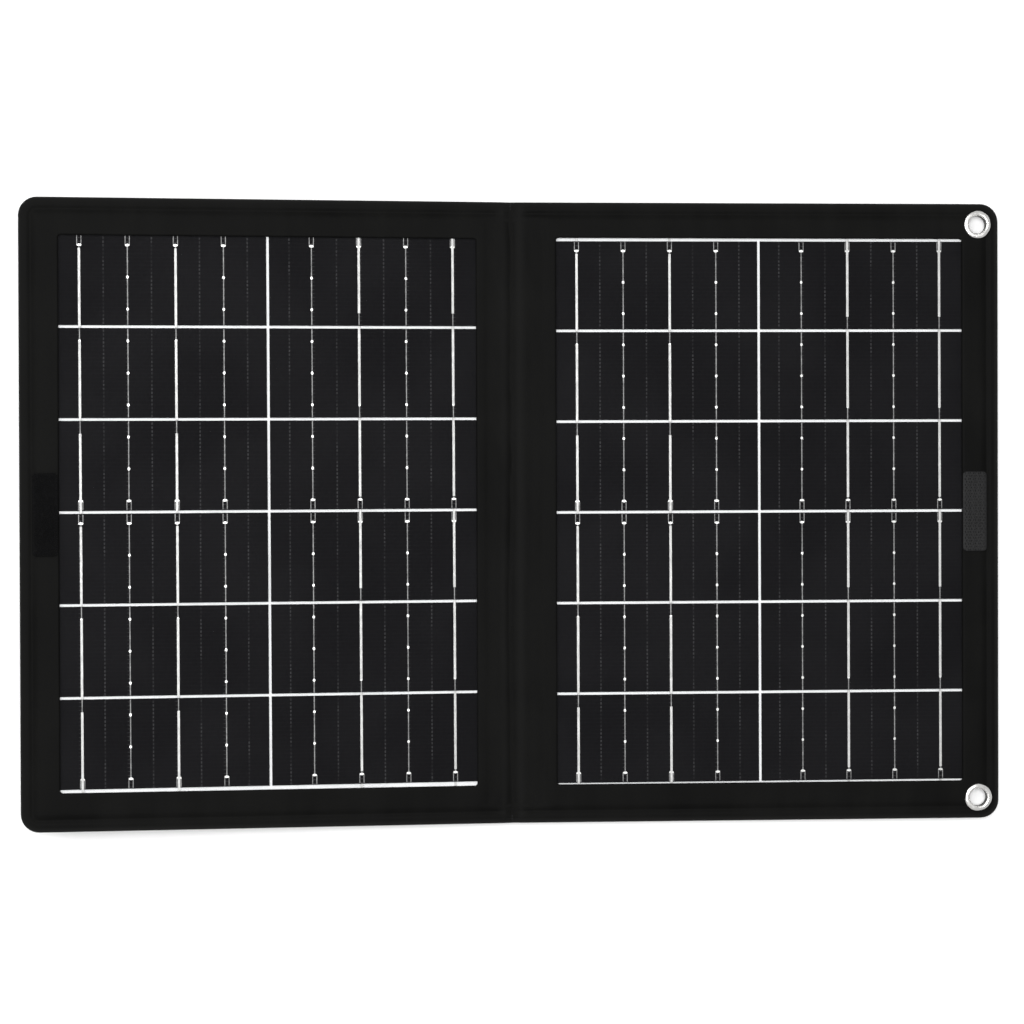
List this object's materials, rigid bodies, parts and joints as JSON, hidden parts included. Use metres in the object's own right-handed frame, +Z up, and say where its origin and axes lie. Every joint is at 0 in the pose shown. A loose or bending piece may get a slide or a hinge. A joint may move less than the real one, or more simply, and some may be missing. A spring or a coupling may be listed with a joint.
{
  "type": "folding solar panel",
  "caption": "Two-wing folding solar panel in a soft book-like cover, with cell windows, corner eyelets, a hook-and-loop closure and a charge controller on the back.",
  "frame": {"origin": "middle of the crease between the wings, at the height of the surface that the kit lies on", "axes": "+X from the crease over the wing with the eyelets, +Y along the crease, +Z up, the way the cells face"},
  "size_m": [0.3398, 0.216, 0.0187],
  "materials": {
    "front_cover_fabric": "coated polyester with a fine matte grain, heat pressed",
    "back_cover_fabric": "coated polyester with a coarser weave",
    "board": "stiff sheet",
    "backsheet": "white laminate",
    "encapsulant": "clear bonding sheet",
    "cell": "dark blue-black monocrystalline silicon with printed silver busbars",
    "tinned_ribbon": "satin tinned copper",
    "front_film": "clear satin film",
    "flat_lead": "tinned flat copper",
    "eyelet_metal": "nickel-plated brass",
    "hook_tape": "woven tape with moulded nylon hooks",
    "loop_tape": "brushed nylon loops",
    "controller_plastic": "fine moulded texture",
    "screw_steel": "black zinc plating",
    "circuit_laminate": "green solder mask",
    "socket_steel": "nickel-plated steel",
    "usb_a_tongue": "white moulded plastic with gilt contacts",
    "usb_c_tongue": "black moulded plastic",
    "ferrite": "moulded ferrite",
    "moulded_epoxy": "moulded epoxy",
    "capacitor_ceramic": "moulded tantalum case",
    "light_source": "light-emitting chip",
    "light_lens": "clear lens"
  },
  "bodies": {
    "right_wing": {"hook_patch": "hook_tape", "lower_eyelet": "eyelet_metal", "lower_washer": "eyelet_metal", "right_back_cover": "back_cover_fabric", "right_backsheet": "backsheet", "right_board": "board", "right_bus_strips": "tinned_ribbon", "right_cells": "cell", "right_encapsulant": "encapsulant", "right_film": "front_film", "right_front_cover": "front_cover_fabric", "right_leads": "flat_lead", "right_ribbons": "tinned_ribbon", "upper_eyelet": "eyelet_metal", "upper_washer": "eyelet_metal"},
    "left_wing": {"blocking_diode": "moulded_epoxy", "circuit_board": "circuit_laminate", "controller_base": "controller_plastic", "controller_lid": "controller_plastic", "filter_capacitor": "capacitor_ceramic", "inductor": "ferrite", "left_back_cover": "back_cover_fabric", "left_backsheet": "backsheet", "left_board": "board", "left_bus_strips": "tinned_ribbon", "left_cells": "cell", "left_encapsulant": "encapsulant", "left_film": "front_film", "left_front_cover": "front_cover_fabric", "left_leads": "flat_lead", "left_ribbons": "tinned_ribbon", "lid_screws": "screw_steel", "light_lens": "light_lens", "light_source": "light_source", "loop_patch": "loop_tape", "regulator_chip": "moulded_epoxy", "usb_a_shell": "socket_steel", "usb_a_tongue": "usb_a_tongue", "usb_c_shell": "socket_steel", "usb_c_tongue": "usb_c_tongue"}
  },
  "joints": [
    {"name": "fold", "type": "hinge", "parent": "right_wing", "child": "left_wing", "pos_m": [0, 0, 0.00655], "axis": [0, 1, 0], "range_deg": [-4.25, 175.75]}
  ]
}
